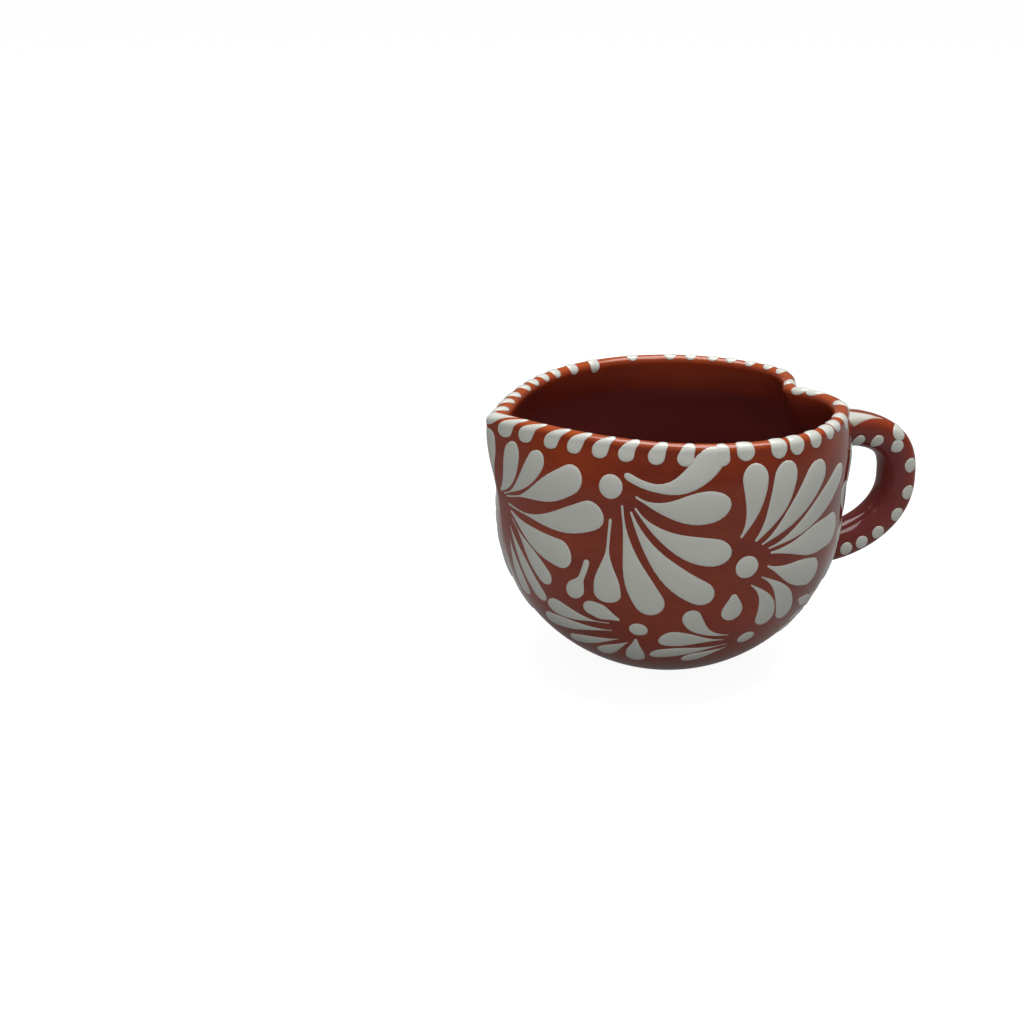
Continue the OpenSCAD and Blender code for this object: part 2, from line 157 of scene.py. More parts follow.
class MugFinish(bpy.types.PropertyGroup):
    """Colours and gloss of the clay, the slip and the glaze."""

    clay: colour("Clay", "Red-brown clay under the glaze", (0.27, 0.032, 0.007))
    clay_pale: colour("Pale clay", "Paler clay where the glaze is thin", (0.38, 0.078, 0.018))
    clay_deep: colour("Deep clay", "Darker clay where the glaze has pooled", (0.13, 0.016, 0.009))
    # Painted shade: the colour that the clay is darkened towards, inside the bowl and on the handle's side
    # towards it.
    clay_inside: colour("Clay inside", "Clay under the deeper glaze inside the bowl", (0.14, 0.031, 0.03))
    bare_clay: colour("Bare clay", "Unglazed clay under the base", (0.46, 0.17, 0.08))
    slip: colour("Slip", "White slip at its thickest", (0.52, 0.525, 0.48))
    slip_thin: colour("Thin slip", "Slip where the clay shows through its edge", (0.35, 0.25, 0.19))
    gloss: share("Gloss roughness", "Roughness of the clear glaze", 0.07)


class MugStage(bpy.types.PropertyGroup):
    """The floor, the lamps and the camera."""

    floor_size: length("Floor size", "Width of the floor", 40.0)
    floor_colour: colour("Floor colour", "Pale floor", (0.2, 0.2, 0.2))
    floor_glow: share("Floor glow", "How much white the camera adds to the floor", 0.93)
    over_power: number("Power overhead", "Watts of the lamp overhead", 11.0)
    back_power: number("Power behind", "Watts of the lamp behind", 3.0)
    front_power: number("Power in front", "Watts of the low lamp in front", 4.4)
    sky: share("Sky", "Strength of the soft light all round", 0.32, 2.0)
    mirrored: share("Mirrored", "How much of the white background the glaze mirrors", 0.13)
    camera_place: FloatVectorProperty(
        name="Camera place",
        description="Where the camera stands",
        default=(-0.1641, -0.3645, 0.1829),
        size=3,
        unit="LENGTH",
        subtype="TRANSLATION",
    )
    camera_tilt: number("Camera tilt", "Degrees up from straight down", 69.96)
    camera_turn: number("Camera turn", "Degrees round from facing +Y", -18.4)
    focal_length: number("Focal length", "Lens in mm on a 36 mm sensor", 56.25)


GROUPS = {
    "mug_bowl": MugBowlSizes,
    "mug_handle": MugHandleSizes,
    "mug_slip": MugSlipSizes,
    "mug_finish": MugFinish,
    "mug_stage": MugStage,
}


# The painted field: how far below the lip it ends, and the turn that a share of 1 spans in it.
FIELD_MARGIN = 3.4 * MM
FIELD_TURN = 95.0
# Shares of the usual stroke: its tail's width, and its height where it is thinnest.
USUAL_TAIL = 0.12
THIN_RELIEF = 0.5
# The cover of the handle's leaves, whose slip is thin.
LEAF_COVER = 0.42

# Fans of petals, trailed from a centre outwards. A petal is: heading and share of its tail, heading and
# share of its head, width share and bow share. Where they aren't the usual ones, more follow: where along
# it the bow is, where the belly starts and is full, and the tail's width as a share of the head's.
TIP_PETAL_SHARES = (
    (50, 0.09, 63, 0.53, 0.152, -0.11, 0.35, -0.1, 0.75),
    (31, 0.11, 41, 0.68, 0.156, -0.11, 0.4, 0.16, 0.8),
    (20, 0.13, 22.3, 0.96, 0.2, -0.06, 0.35, 0.24, 0.78),
    (-3, 0.13, 7.5, 1.06, 0.222, -0.15, 0.5, 0.2, 0.85),
    (-17, 0.17, -16.8, 0.82, 0.205, -0.08, 0.45, -0.05, 0.75),
    (-31, 0.2, -41.5, 0.74, 0.15, 0.03, 0.5, 0.15, 0.78),
    (-50, 0.22, -58, 0.8, 0.15, 0.02),
    (-66, 0.3, -75, 0.74, 0.14, 0.02),
)
TIP_LONE_SHARES = (
    (90, 0.1, 90, 0.52, 0.14, 0.0),
    (-90, 0.34, -90, 0.94, 0.14, 0.0),
)
FRONT_PETAL_SHARES = (
    (48, 0.138, 24.2, 0.795, 0.215, -0.375, 0.52, 0.25, 0.85, 0.27),
    (-14, 0.19, -4.4, 0.865, 0.245, -0.15, 0.4, 0.08, 0.82),
    (-34, 0.226, -27.3, 1.015, 0.23, -0.19, 0.42, 0.08, 0.86),
    (-44, 0.22, -46.4, 1.136, 0.225, -0.19, 0.5, 0.0, 0.85),
    (-50, 0.145, -69.2, 1.035, 0.25, -0.1, 0.55, 0.12, 0.88),
    (-87, 0.23, -90, 0.91, 0.21, -0.02, 0.6, 0.3, 0.75, 0.15),
    (-105.5, 0.6, -109.4, 0.98, 0.152, 0.05, 0.5, 0.4, 0.75, 0.32),
)
LOBE_PETAL_SHARES = (
    (107, 0.247, 89, 0.79, 0.192, -0.11, 0.4, 0.0, 0.85, 0.15),
    (77, 0.2, 69, 0.835, 0.222, -0.11, 0.4, -0.05, 0.83),
    (59, 0.19, 47.8, 0.965, 0.218, -0.1, 0.35, 0.02, 0.78),
    (39, 0.2, 31.5, 1.14, 0.212, -0.13, 0.4, 0.05, 0.75),
    (27, 0.197, 6.5, 1.01, 0.26, -0.02, 0.5, 0.0, 0.65),
    (-3, 0.16, -15, 0.78, 0.235, -0.055, 0.5, 0.0, 0.7),
    (-38, 0.15, -52.5, 0.74, 0.175, 0.17),
    (-76, 0.15, -68.5, 0.63, 0.17, 0.16),
    (-36, 0.73, -34, 0.94, 0.125, 0.0, 0.5, -0.1, 0.6),
    (-112, 0.225, -98.5, 0.465, 0.17, 0.0, 0.5, -0.15, 0.62),
)
HANDLE_PETAL_SHARES = (
    (88, 0.16, 93, 0.94, 0.23, 0.03, 0.5, 0.0, 0.72),
    (112, 0.16, 119, 1.02, 0.25, 0.1, 0.4, 0.0, 0.75),
    (138, 0.16, 146, 0.98, 0.25, 0.1, 0.4, 0.0, 0.75),
    (168, 0.16, 182, 0.76, 0.24, 0.05, 0.5, 0.0, 0.65),
    (203, 0.16, 214, 0.88, 0.23, 0.0, 0.5, 0.0, 0.65),
    (236, 0.16, 243, 0.68, 0.2, 0.0, 0.5, 0.0, 0.65),
    (264, 0.16, 267, 0.92, 0.2, 0.0, 0.5, 0.05, 0.75),
)
LOW_TIP_PETAL_SHARES = (
    (149.5, 0.246, 158, 0.7, 0.235, -0.02, 0.5, -0.1, 0.6),
    (171, 0.333, 174, 1.185, 0.255, 0.085, 0.45, 0.2, 0.85),
    (193, 0.31, 189, 1.3, 0.25, 0.02, 0.5, 0.05, 0.8),
    (222, 0.33, 208, 1.05, 0.2, 0.02),
    (241.5, 0.29, 231, 0.846, 0.21, 0.0),
    (255, 0.178, 262, 0.727, 0.25, 0.0, 0.5, -0.1, 0.8),
)
LOW_PETAL_SHARES = (
    (154, 0.29, 145.5, 1.02, 0.21, 0.24, 0.5, 0.0, 0.85),
    (172.5, 0.294, 173.5, 1.07, 0.275, 0.0, 0.5, 0.05, 0.8),
    (196, 0.22, 193.5, 1.07, 0.235, 0.0, 0.5, 0.08, 0.85),
    (216, 0.233, 211.5, 0.74, 0.2, 0.0),
)

# Each fan: its node without near or far, turn, height share, reach share and petals.
NEAR_FANS = (
    ("tip_fan", -180.0, 0.781, 0.472, TIP_PETAL_SHARES),
    ("front_fan", -132.0, 0.929, 0.433, FRONT_PETAL_SHARES),
    ("lobe_fan", -88.0, 0.672, 0.433, LOBE_PETAL_SHARES),
    ("handle_fan", -17.72, 0.658, 0.328, HANDLE_PETAL_SHARES),
    ("low_fans", -122.0, 0.43, 0.289, LOW_TIP_PETAL_SHARES),
    ("low_fans", -81.0, 0.36, 0.289, LOW_PETAL_SHARES),
    ("low_fans", -34.0, 0.36, 0.1965, LOW_PETAL_SHARES),
)
# Eyes: turn, height share, and share of the full diameter.
NEAR_EYES = (
    (-132.0, 0.929, 1.0),
    (-88.2, 0.674, 1.0),
    (-17.72, 0.658, 1.0),
    (-122.2, 0.432, 0.78),
    (-81.0, 0.362, 0.78),
    (-34.0, 0.36, 0.7),
)
# Turns of the drops over the rim: combed round from the tip, plain over the lobe, and across the crest
# where the rim is seen from inside.
COMBED_DROP_TURNS = (174.5, 166.6, 156.6, 147.6, 138.0, 128.6, 118.4, 108.9, 97.6)
LOBE_DROP_TURNS = (89.6, 78.4, 71.6, 63.3, 55.2, 49.3)
NEAR_CREST_DROP_PLACES = ((40.5, 0.82), (25.5, 0.8), (11.5, 0.85), (6.0, 0.95))
# The far ones: turn, and how far over the lip each drop reaches inside.
FAR_CREST_DROP_PLACES = (
    (5.5, 0.8), (20.3, 0.8), (27.2, 0.8), (35.2, 0.82), (43.0, 0.8), (50.0, 0.8), (58.4, 0.83), (66.2, 0.84),
    (80.8, 0.85), (98.2, 1.18), (109.5, 1.06), (120.2, 0.97), (128.8, 0.93), (138.0, 0.88), (146.7, 0.87),
    (158.0, 0.82), (166.4, 0.8), (175.4, 0.8),
)
# How far crest drops hang down outside, as a share of the way over the lip, and their width share.
NEAR_CREST_FORM = (0.25, 0.95)
FAR_CREST_FORM = (0.42, 0.8)
# Where the combed drops begin to sweep, and how fast the sweep grows.
COMB_START_TURN = 94.0
COMB_POWER = 0.6
# Drops along the handle's near side: turn of the centre line, and share of the half thickness outwards.
HANDLE_DROP_PLACES = (
    (72, -0.5), (57, -0.34), (41, 0.6), (35, -0.04), (10, 0.3),
    (-8, 0.28), (-27, 0.28), (-46, 0.22), (-59, 0.2), (-70, 0.18),
)


def within(value, low, high):
    """value held between low and high."""
    return np.clip(value, low, high)


def eased(t):
    """A smooth step from 0 to 1."""
    k = within(t, 0.0, 1.0)
    return k * k * (3.0 - 2.0 * k)


def signed_power(value, power):
    """A power that keeps the sign, which squares off a round section."""
    return np.sign(value) * np.abs(value) ** power


def unit(vectors):
    """The rows of vectors, each scaled to a length of 1."""
    return vectors / np.linalg.norm(vectors, axis=-1, keepdims=True)


class Wall:
    """The bowl's wall as a formula of the turn round the mug and the height or length up the wall."""

    TIP_TURN = 20.0
    CLEFT_TURN = 13.5
    CLEFT_SPREAD = 0.15
    TIP_FILL = 0.17
    LOBE_MID = 103.0
    LOBE_SPAN = 96.0
    HEART_POWER = 1.75
    TIP_POWER = 2.3
    # Small steps round and up the wall, which show how it slants.
    PROBE_TURN = 0.2
    PROBE_LENGTH = 0.1 * MM
    # The shortest length up the wall at which slip is laid.
    LOWEST = 1.5 * MM

    def __init__(self, sizes):
        self.sizes = sizes
        self.ball_z = math.sqrt(sizes.ball_radius**2 - sizes.foot_radius**2)
        self.foot_turn = math.asin(sizes.foot_radius / sizes.ball_radius)
        self.ball_length = sizes.ball_radius * (math.pi / 2 - self.foot_turn)
        self.top_z = sizes.height - sizes.lip
        self.top_length = self.ball_length + self.top_z - self.ball_z
        self.swell_z = sizes.height - sizes.swell_drop
        self.flank_radius = sizes.ball_radius - sizes.flank_draw

    def swell(self, z):
        """How far the wall swells out at a height."""
        return self.sizes.swell * np.exp(-(((z - self.swell_z) / self.sizes.swell_span) ** 2))

    def round_radius(self, z, inside):
        """Radius of the round wall, before the mouth is pinched into a heart."""
        radius = self.sizes.ball_radius - inside * self.sizes.wall
        below = np.sqrt(np.maximum(0.0, radius**2 - (self.ball_z - z) ** 2))
        return np.where(z < self.ball_z, below, radius) + self.swell(z)

    def pinch(self, angle, z, inside):
        """How far the wall stands out from the round one."""
        s = self.sizes
        turn = np.abs((angle + HALF_TURN) % FULL_TURN - HALF_TURN)
        rise = within((z - s.heart_height) / (self.top_z - s.heart_height), 0.0, 1.0)
        lobe = s.lobe_rise * eased((self.LOBE_MID + self.LOBE_SPAN / 2 - turn) / self.LOBE_SPAN)
        cleft_turn = self.CLEFT_TURN * (1 + inside * self.CLEFT_SPREAD)
        cleft = s.cleft_depth * np.exp(-((turn / cleft_turn) ** 2))
        tip = s.tip_rise * (1 - inside * self.TIP_FILL) * np.exp(-(HALF_TURN - turn) / self.TIP_TURN)
        heart = lobe - cleft - s.flank_draw - self.swell(self.top_z)
        return rise**self.HEART_POWER * heart + rise**self.TIP_POWER * tip

    def radius(self, angle, z, inside=0.0):
        """Radius of the pinched wall: outside, or with inside at 1 in the bowl."""
        return self.round_radius(z, inside) + self.pinch(angle, z, inside)

    def height_at(self, along):
        """Height at a length up the outer wall from the base's edge."""
        r = self.sizes.ball_radius
        ball = self.ball_z - r * np.cos(self.foot_turn + along / r)
        return np.where(along < self.ball_length, ball, self.ball_z + along - self.ball_length)

    def point(self, angle, along):
        """Point of the outer wall, going on over the lip and down inside."""
        s = self.sizes
        lip_turn = within((along - self.top_length) / s.lip, 0.0, math.pi)
        past = np.maximum(0.0, along - self.top_length - math.pi * s.lip)
        z_out = self.height_at(np.minimum(along, self.top_length))
        z_in = self.top_z - past
        outer = self.radius(angle, z_out)
        inner = self.radius(angle, z_in, 1.0)
        middle = (outer + inner) / 2 + (outer - inner) / 2 * np.cos(lip_turn)
        over = along > self.top_length
        r = np.where(over, np.where(past > 0, inner, middle), outer)
        z = np.where(over, np.where(past > 0, z_in, self.top_z + s.lip * np.sin(lip_turn)), z_out)
        t = np.radians(angle)
        return np.stack([r * np.cos(t), r * np.sin(t), z], axis=-1)

    def lifted(self, angle, along, lift):
        """A point of the wall, moved off it by lift."""
        across = self.point(angle + self.PROBE_TURN, along) - self.point(angle - self.PROBE_TURN, along)
        up = self.point(angle, along + self.PROBE_LENGTH) - self.point(angle, along - self.PROBE_LENGTH)
        return self.point(angle, along) + lift[..., None] * unit(np.cross(across, up))

    def flat(self, angle, along):
        """A skin that lays flat places round a point of the wall."""

        def skin(u, v, lift):
            s = np.maximum(self.LOWEST, along + v)
            z = self.height_at(np.minimum(s, self.top_length))
            turn = angle + np.degrees(u / self.radius(angle, z))
            return self.lifted(turn, s, lift)

        return skin


class Strap:
    """The handle as a formula of the turn along its centre line and the turn round its section."""

    # Where the loop stands out furthest, as a share of the way up between its roots, and how square it is.
    MID_SHARE = 0.52
    UPPER_POWER = 2.9
    LOWER_POWER = 2.1
    # How square the section is away from the bowl and towards it.
    OUTER_POWER = 0.74
    INNER_POWER = 1.0
    STEP_TURN = 1.0
    SIDE_TURN = 88.0
    SIDE_STEPS = 177
    # How far to either side of the middle a leaf lies, as a share of the half width.
    LEAF_SIDE = 0.56
    SETTLING_ROUNDS = 3

    def __init__(self, sizes, wall):
        self.sizes = sizes
        self.wall = wall
        bowl = wall.sizes
        self.root_x = bowl.ball_radius - bowl.wall
        self.tip_x = bowl.ball_radius + sizes.reach
        self.top_z = bowl.height - sizes.upper_drop
        self.low_z = sizes.lower_height
        self.mid_z = self.low_z + self.MID_SHARE * (self.top_z - self.low_z)

    def root_turn(self, power):
        """Turn of the centre line where the joint with the bowl begins."""
        x = self.wall.sizes.ball_radius + self.sizes.joint_length
        return math.degrees(math.acos(((x - self.root_x) / (self.tip_x - self.root_x)) ** (power / 2)))

    def line(self, t):
        """Centre line in the XZ plane, from the upper root at 90 to the lower at -90."""
        power = np.where(t > 0, self.UPPER_POWER, self.LOWER_POWER)
        end_z = np.where(t > 0, self.top_z, self.low_z)
        c = np.maximum(0.0, np.cos(np.radians(t)))
        s = np.abs(np.sin(np.radians(t)))
        x = self.root_x + (self.tip_x - self.root_x) * c ** (2 / power)
        return np.stack([x, self.mid_z + (end_z - self.mid_z) * s ** (2 / power)], axis=-1)

    def chord(self, t):
        """Step along the centre line, from a small turn before t to one after it."""
        return self.line(t + self.STEP_TURN) - self.line(t - self.STEP_TURN)

    def section_power(self, outwards):
        """How round the section is: fuller on the outer side."""
        return self.INNER_POWER + (self.OUTER_POWER - self.INNER_POWER) * eased(0.5 + outwards)

    def point(self, t, turn, grow=1.0, lift=0.0):
        """Point of the handle, where section turn 0 is the near side and 90 faces away from the bowl."""
        s = self.sizes
        along = unit(self.chord(t))
        out = np.stack([along[..., 1], -along[..., 0]], axis=-1)
        c = np.cos(np.radians(turn))
        d = np.sin(np.radians(turn))
        power = self.section_power(d)
        across = signed_power(c, power) * s.width / 2 * grow
        thick = signed_power(d, power) * s.thickness / 2 * grow
        slant = unit(np.stack([c / s.width, d / s.thickness], axis=-1))
        spot = self.line(t) + out * (thick + lift * slant[..., 1])[..., None]
        return np.stack([spot[..., 0], -across - lift * slant[..., 0], spot[..., 1]], axis=-1)

    def wall_x(self, y, z):
        """Place on the bowl's wall straight behind a point of the handle."""
        x = self.wall.radius(np.zeros_like(z), z)
        for _ in range(self.SETTLING_ROUNDS):
            r = self.wall.radius(np.degrees(np.arctan2(y, x)), z)
            x = np.sqrt(r**2 - y**2)
        return x

    def side_skin(self, t, share):
        """A skin on the near side: v runs along the handle and u runs outwards."""
        rate = float(np.linalg.norm(self.chord(t))) / (2 * self.STEP_TURN)

        def skin(u, v, lift):
            turns = np.linspace(-self.SIDE_TURN, self.SIDE_TURN, self.SIDE_STEPS)
            sines = np.sin(np.radians(turns))
            outs = signed_power(sines, self.section_power(sines))
            turn = np.interp(share + u / (self.sizes.thickness / 2), outs, turns)
            return self.point(t + v / rate, turn, 1.0, lift)

        return skin

    def leaf_skin(self, side):
        """A skin on top of the handle: v runs from the leaf's point towards the bowl."""
        reach = self.tip_x - self.root_x
        start = self.wall.sizes.ball_radius + self.sizes.joint_length

        def skin(u, v, lift):
            length_out = bpy.context.scene.mug_slip.leaf_length - v
            line_share = within((start + length_out - self.root_x) / reach, 0.0, 1.0)
            t = np.degrees(np.arccos(line_share ** (self.UPPER_POWER / 2)))
            across = within(side * self.LEAF_SIDE + u / (self.sizes.width / 2), -1.0, 1.0)
            turn = HALF_TURN - np.degrees(np.arccos(signed_power(across, 1 / self.OUTER_POWER)))
            return self.point(t, turn, 1.0, lift)

        return skin


def deselect():
    """Leaves edit mode with nothing selected, because the frame's nodes start selected."""
    if bpy.context.object and bpy.context.object.mode != "OBJECT":
        bpy.ops.object.mode_set(mode="OBJECT")
    bpy.ops.object.select_all(action="DESELECT")


def coordinates(mesh):
    """The mesh's points as rows of x, y and z."""
    flat = np.empty(len(mesh.vertices) * 3)
    mesh.vertices.foreach_get("co", flat)
    return flat.reshape(-1, 3)


def reshape(mesh, points):
    """Moves the mesh's points."""
    mesh.vertices.foreach_set("co", points.ravel())
    mesh.update()


def mark(mesh, name, values):
    """Writes a value per point, which a material can read."""
    layer = mesh.attributes.get(name) or mesh.attributes.new(name, "FLOAT", "POINT")
    layer.data.foreach_set("value", values.astype(np.float32))


def edit_all():
    """Goes into edit mode with the whole mesh selected."""
    bpy.ops.object.mode_set(mode="EDIT")
    bpy.ops.mesh.select_all(action="SELECT")


def close_mesh(merge=0.0):
    """Merges points that are as near as merge, turns the faces outwards and leaves edit mode."""
    edit_all()
    if merge:
        bpy.ops.mesh.remove_doubles(threshold=merge)
    bpy.ops.mesh.normals_make_consistent(inside=False)
    bpy.ops.object.mode_set(mode="OBJECT")


def turn_far(piece):
    """Mirrors a piece from the near side to the far side."""
    reshape(piece.data, coordinates(piece.data) * FAR_SIDE)
    piece.data.flip_normals()


def spun(name, outline, steps):
    """A closed pot, drawn as an outline of radius and height from axis to axis and spun round Z."""
    deselect()
    bpy.ops.mesh.primitive_plane_add(size=MM)
    piece = bpy.context.object
    piece.name = name
    edit_all()
    bpy.ops.mesh.merge(type="CENTER")
    bpy.ops.transform.translate(value=(outline[0][0], 0.0, outline[0][1]))
    for before, after in zip(outline, outline[1:]):
        step = (after[0] - before[0], 0.0, after[1] - before[1])
        bpy.ops.mesh.extrude_region_move(TRANSFORM_OT_translate={"value": step})
    bpy.ops.mesh.select_all(action="SELECT")
    bpy.ops.mesh.spin(steps=steps, angle=2 * math.pi, center=(0, 0, 0), axis=(0, 0, 1))
    close_mesh(POT_MERGE)
    return piece


def round_outline(wall):
    """Radius and height along the round pot: the base, the outer wall, the lip, the inner wall, the floor."""
    s = wall.sizes
    counts = {"base": 6, "bend": 6, "outer": 74, "lip": 17, "inner": 96, "floor": 21}
    bend_height = 0.45 * s.foot_round
    inner_power = 1.3
    base = [(r * (s.foot_radius - s.foot_round), 0.0) for r in np.linspace(0.0, 1.0, counts["base"])]
    bend = [
        (s.foot_radius - s.foot_round * (1 - math.sin(k)), bend_height * (1 - math.cos(k)))
        for k in np.linspace(0.0, math.pi / 2, counts["bend"])[1:-1]
    ]
    z_out = wall.height_at(np.linspace(s.foot_round, wall.top_length, counts["outer"]))
    outer = list(zip(wall.radius(FLANK_TURN, z_out), z_out))
    r_out, r_in = (wall.radius(FLANK_TURN, wall.top_z, k) for k in (0.0, 1.0))
    lip = [
        ((r_out + r_in) / 2 + (r_out - r_in) / 2 * math.cos(k), wall.top_z + s.lip * math.sin(k))
        for k in np.linspace(0.0, math.pi, counts["lip"])[1:]
    ]
    depth = wall.top_z - s.floor - s.dish
    up_shares = 1 - np.linspace(0.0, 1.0, counts["inner"])[1:]
    z_in = wall.top_z - depth * (1 - up_shares**inner_power)
    inner = list(zip(wall.radius(FLANK_TURN, z_in, 1.0), z_in))
    edge_r, edge_z = inner[-1]
    sunk = s.floor - s.dish / 2
    shares = np.linspace(1.0, 0.0, counts["floor"])[1:]
    floor = [(k * edge_r, sunk + (edge_z - sunk) * k**2) for k in shares]
    return [(float(r), float(z)) for r, z in base + bend + outer + lip + inner + floor]


def pinched(wall, points):
    """The spun pot's points, with its mouth pinched into a heart, and how far out in the wall each lies."""
    s = wall.sizes
    x, y, z = points.T
    r = np.hypot(x, y)
    angle = np.degrees(np.arctan2(y, x))
    level = np.minimum(z, wall.top_z)
    round_in = wall.radius(FLANK_TURN, level, 1.0)
    round_out = wall.radius(FLANK_TURN, level, 0.0)
    through = within((r - round_in) / (round_out - round_in), 0.0, 1.0)
    heart_in = wall.pinch(angle, level, 1.0) - wall.pinch(FLANK_TURN, level, 1.0)
    heart_out = wall.pinch(angle, level, 0.0) - wall.pinch(FLANK_TURN, level, 0.0)
    moved = r + np.where(z > s.floor, heart_in + (heart_out - heart_in) * through, 0.0)
    skin_share = 0.2
    inner_wall = (through < skin_share) & (z > s.floor + MM) & (z < wall.top_z)
    spiral, beat = 2.3 * MM, 3.1 * MM
    lines = np.sin(z / spiral + np.radians(angle)) * np.sin(z / beat) * s.throwing_lines
    moved = moved + np.where(inner_wall, lines, 0.0)
    scale = np.where(r > 0, moved / np.maximum(r, TINY), 1.0)
    return np.stack([x * scale, y * scale, z], axis=-1), through


def mark_glaze(mesh, wall, z, through):
    """Marks where the glaze is thin on the lip's crest, and the painted shade inside the bowl: slightly
    darker just under the lip, then a painted shadow from about 6 mm down, growing with the depth below the
    lip.
    """
    s = wall.sizes
    crest_rate, crest_start = 1.6, 0.4
    mark(mesh, "crest", eased((z - wall.top_z) / s.lip * crest_rate - crest_start))
    from_lip = np.maximum(0.0, wall.top_z - z)
    # Painted shade inside the bowl: a light share just under the lip, then a painted shadow from about 6 mm
    # down.
    band_shade_share, band_shade_end, shadow_start, shadow_span = 0.32, 2 * MM, 6 * MM, 3 * MM
    deep = eased((from_lip - shadow_start) / shadow_span)
    painted_shade_inside = band_shade_share * eased(from_lip / band_shade_end) + (1 - band_shade_share) * deep
    inner_side = (through < 0.5) & (z > s.floor / 2)
    mark(mesh, "inside", np.where(inner_side, painted_shade_inside, 0.0))
    # How far below the lip a point lies. The painted shade grows with it, and the coat thins with it.
    mark(mesh, "depth", from_lip / wall.top_z)


def make_bowl(wall):
    """The bowl: a pot spun round, whose mouth is then pinched into a heart."""
    spin_steps = 360
    piece = spun("smooth_bowl", round_outline(wall), spin_steps)
    points, through = pinched(wall, coordinates(piece.data))
    reshape(piece.data, np.clip(points, *CAD_BOX))
    mark_glaze(piece.data, wall, points[:, 2], through)
    bpy.ops.object.shade_smooth_by_angle(angle=math.radians(40))
    return piece


def make_tube(name, sides, rings):
    """A tube along Z from -1 to 1, cut into rings and closed at both ends."""
    deselect()
    bpy.ops.mesh.primitive_cylinder_add(vertices=sides, radius=1.0, depth=2.0, end_fill_type="NOTHING")
    piece = bpy.context.object
    piece.name = name
    bpy.ops.object.mode_set(mode="EDIT")
    bpy.ops.mesh.select_mode(type="EDGE")
    bpy.ops.mesh.select_all(action="DESELECT")
    bpy.ops.object.mode_set(mode="OBJECT")
    ends = coordinates(piece.data)[:, 2]
    for edge in piece.data.edges:
        first, second = edge.vertices
        edge.select = bool(abs(ends[first] - ends[second]) > 1.0)
    bpy.ops.object.mode_set(mode="EDIT")
    bpy.ops.mesh.subdivide(number_cuts=rings)
    bpy.ops.mesh.select_all(action="SELECT")
    bpy.ops.mesh.fill_holes(sides=0)
    bpy.ops.object.mode_set(mode="OBJECT")
    return piece


def make_handle(strap):
    """The handle: a tube bent along the loop, with both ends run into the bowl's wall."""
    sides, rings = 56, 150
    # The share of each half of the tube that runs into the bowl, and how far inside the wall it ends.
    joint = 0.1
    sunk = 0.5 * MM
    # Painted shade: how much the glaze is darkened towards the bowl, on the side that faces it.
    shade_start, shade_rate, shade_depth_share = 0.65, 0.9, 0.3
    piece = make_tube("smooth_handle", sides, rings)
    tube = coordinates(piece.data)
    turn = np.degrees(np.arctan2(tube[:, 1], tube[:, 0]))
    along = tube[:, 2]
    upper = strap.root_turn(strap.UPPER_POWER)
    lower = strap.root_turn(strap.LOWER_POWER)
    body = within(along / (1 - joint), -1.0, 1.0)
    t = (upper - lower) / 2 + body * (upper + lower) / 2
    root = within((np.abs(along) - (1 - joint)) / joint, 0.0, 1.0)
    grow = 1 + strap.sizes.joint_flare * root**3
    points = strap.point(t, turn, grow)
    seat = strap.wall_x(points[:, 1], points[:, 2]) - sunk
    points[:, 0] += (seat - points[:, 0]) * root
    reshape(piece.data, np.clip(points, *CAD_BOX))
    mark(piece.data, "crest", np.zeros(len(points)))
    # Painted shade on the handle's side towards the bowl, which the clay's material reads as its inside.
    mark(piece.data, "inside", eased(shade_start - shade_rate * np.sin(np.radians(turn))))
    mark(piece.data, "depth", np.full(len(points), shade_depth_share))
    close_mesh()
    bpy.ops.object.shade_smooth_by_angle(angle=math.radians(50))
    return piece


def make_bead():
    """A bead of slip that lies along X, from -1 to 1, round above and pressed flat below."""
    middle_margin = 0.01
    deselect()
    bpy.ops.mesh.primitive_uv_sphere_add(segments=24, ring_count=22, radius=1.0)
    bead = bpy.context.object
    bead.name = "slip_bead"
    edit_all()
    bpy.ops.transform.rotate(value=math.pi / 2, orient_axis="Y", center_override=(0, 0, 0))
    bpy.ops.mesh.select_mode(type="VERT")
    bpy.ops.mesh.select_all(action="DESELECT")
    bpy.ops.object.mode_set(mode="OBJECT")
    for vertex in bead.data.vertices:
        vertex.select = vertex.co.z < -middle_margin
    bpy.ops.object.mode_set(mode="EDIT")
    bpy.ops.transform.resize(value=(1.0, 1.0, 0.0), center_override=(0, 0, 0))
    close_mesh()
    return bead


def stroke_width(t, head, tail, neck, full):
    """Width share along a stroke: a slim tail up to neck, widest at full, and rounded off from head on."""
    stem = tail + (1 - tail) * eased((t - neck) / (full - neck))
    cap = np.sqrt(np.maximum(0.0, 1 - (np.maximum(0.0, t - head) / (1 - head)) ** 2))
    tail_end = tail * (1 - head)
    start = np.sqrt(np.maximum(0.0, 1 - (1 - within(t / tail_end, 0.0, 1.0)) ** 2))
    return stem * cap * start


